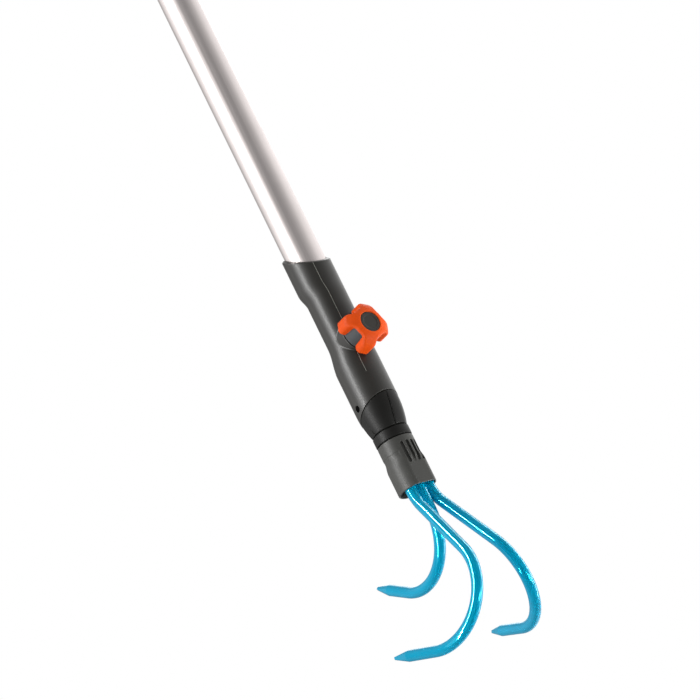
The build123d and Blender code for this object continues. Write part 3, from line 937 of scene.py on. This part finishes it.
def camera_axes():
    """Right, up and backward directions of the camera."""
    az, el, roll = radians(CAMERA_AZIMUTH), radians(CAMERA_ELEVATION), radians(CAMERA_ROLL)
    back = Vector((sin(az) * cos(el), -cos(az) * cos(el), sin(el)))
    right = Vector((0, 0, 1)).cross(back).normalized()
    up = back.cross(right)
    return right * cos(roll) - up * sin(roll), right * sin(roll) + up * cos(roll), back


def place(item, right, up, back, at):
    """Turns a camera or light so that it looks along minus back."""
    item.matrix_world = Matrix.Translation(at) @ Matrix((right, up, back)).transposed().to_4x4()


def make_camera():
    """Camera at the photograph's angle."""
    data = bpy.data.cameras.new("camera")
    data.lens = CAMERA_LENS
    data.sensor_width = CAMERA_SENSOR
    data.clip_end = CAMERA_REACH
    camera = bpy.data.objects.new("camera", data)
    bpy.context.scene.collection.objects.link(camera)
    right, up, back = camera_axes()
    place(camera, right, up, back, Vector(CAMERA_AIM) + back * CAMERA_DISTANCE)
    bpy.context.scene.camera = camera


def make_light(name, around, tilt, distance, size, power, diffuse=True, glossy=True, only=()):
    """Softbox beside the handle, at an angle about +X from +Z towards +Y; tilt leans it to -X.

    With only given, it lights just those objects.
    """
    turn, lean = radians(around), radians(tilt)
    towards = Vector((-sin(lean), cos(lean) * sin(turn), cos(lean) * cos(turn)))
    data = bpy.data.lights.new(name, "AREA")
    data.shape = "RECTANGLE"
    data.size, data.size_y = size
    data.energy = power
    light = bpy.data.objects.new(name, data)
    light.visible_diffuse, light.visible_glossy = diffuse, glossy
    if only:
        lit = bpy.data.collections.new(name + "_lit")
        for item in only:
            lit.objects.link(item)
        light.light_linking.receiver_collection = lit
    bpy.context.scene.collection.objects.link(light)
    across = Vector((1, 0, 0)).cross(towards).normalized()
    place(light, across, towards.cross(across), towards, Vector(LIGHT_AIM) + towards * distance)


def make_lights(rods):
    """Long soft lights for the tube and coupling, and brighter ones that only the gloss rods show."""
    long_box = {"around": -101, "tilt": 17, "distance": 1.6, "size": (0.75, 3.2)}
    long_tube = {"around": -93, "tilt": 17, "distance": 1.4, "size": (0.14, 3.2)}
    fill_right = {"around": 78, "tilt": -25, "distance": 1.6, "size": (1.0, 1.6)}
    rim_card = {"around": 127, "tilt": 41, "distance": 1.6, "size": (1.2, 1.0)}
    window_low = {"around": 17, "tilt": -36, "distance": 1.5, "size": (0.34, 0.30)}
    window_high = {"around": 42, "tilt": -32, "distance": 1.5, "size": (0.26, 0.30)}
    make_light("long_box", **long_box, power=22)
    make_light("long_tube", **long_tube, power=22, diffuse=False)
    make_light("fill_right", **fill_right, power=16, glossy=False)
    make_light("rim_card", **rim_card, power=5, diffuse=False)
    make_light("window_low", **window_low, power=5)
    make_light("window_high", **window_high, power=4)

    streak = {"around": -94, "tilt": 17, "distance": 1.4, "size": (0.14, 3.2)}
    edge = {"around": 74, "tilt": 0, "distance": 1.4, "size": (0.22, 3.2)}
    make_light("rod_streak", **streak, power=520, diffuse=False, only=rods)
    make_light("rod_edge", **edge, power=36, diffuse=False, only=rods)
    make_light("rod_window_low", **window_low, power=110, diffuse=False, only=rods)
    make_light("rod_window_high", **window_high, power=90, diffuse=False, only=rods)


def make_floor():
    """Plain white sheet under the object, which neither shades it nor shows in its gloss."""
    low = cad_box[0][2]
    signs = ((-1, -1), (1, -1), (1, 1), (-1, 1))
    mesh = bpy.data.meshes.new("floor")
    mesh.from_pydata([(a * FLOOR_HALF, b * FLOOR_HALF, low) for a, b in signs], [], [(0, 1, 2, 3)])
    floor = bpy.data.objects.new("floor", mesh)
    bpy.context.scene.collection.objects.link(floor)
    material, _, _, shader = new_material("floor paper")
    shader.inputs["Base Color"].default_value = (0, 0, 0, 1)
    shader.inputs["Specular IOR Level"].default_value = 0
    shader.inputs["Emission Color"].default_value = (1, 1, 1, 1)
    shader.inputs["Emission Strength"].default_value = 1.0
    mesh.materials.append(material)
    floor.visible_diffuse = False
    floor.visible_glossy = False
    floor.visible_shadow = False


def make_world():
    """Studio walls: bright and dark bands that run along the handle, and plain white to look at."""
    world = bpy.data.worlds.new("studio")
    world.use_nodes = True
    nodes, links = world.node_tree.nodes, world.node_tree.links
    direction = nodes.new("ShaderNodeTexCoord").outputs["Generated"]
    parts = nodes.new("ShaderNodeSeparateXYZ")
    links.new(direction, parts.inputs["Vector"])
    turn = nodes.new("ShaderNodeMath")
    turn.operation = "ARCTAN2"
    links.new(parts.outputs["Y"], turn.inputs[0])
    links.new(parts.outputs["Z"], turn.inputs[1])
    share = spread(nodes, links, turn.outputs["Value"], 0, 1, -pi, pi)
    ramp = nodes.new("ShaderNodeValToRGB")
    ramp.color_ramp.interpolation = "EASE"
    stops = ramp.color_ramp.elements
    stops.remove(stops[-1])
    stops[0].position = 0
    stops[0].color = (WALL_BANDS[0][1],) * 3 + (1,)
    for around, level in WALL_BANDS[1:]:
        stops.new(around / 360 + 0.5).color = (level,) * 3 + (1,)
    links.new(share, ramp.inputs["Fac"])
    end_on = nodes.new("ShaderNodeMath")
    end_on.operation = "ABSOLUTE"
    links.new(parts.outputs["X"], end_on.inputs[0])
    ends = spread(nodes, links, end_on.outputs["Value"], 0, 1, WALL_END_FROM, 1.0)
    walls = mix_colour(nodes, links, ends, ramp.outputs["Color"], (WALL_END,) * 3)
    seen = nodes.new("ShaderNodeLightPath").outputs["Is Camera Ray"]
    background = nodes["Background"]
    links.new(mix_colour(nodes, links, seen, walls, (1, 1, 1)), background.inputs["Color"])
    bpy.context.scene.world = world


make_tube()
make_end_cap()
make_coupling()
make_knob()
make_socket()
rods = make_tines()
finish_cad_nodes()

make_camera()
make_world()
make_floor()
make_lights(rods)
bpy.context.scene.view_settings.view_transform = "Standard"
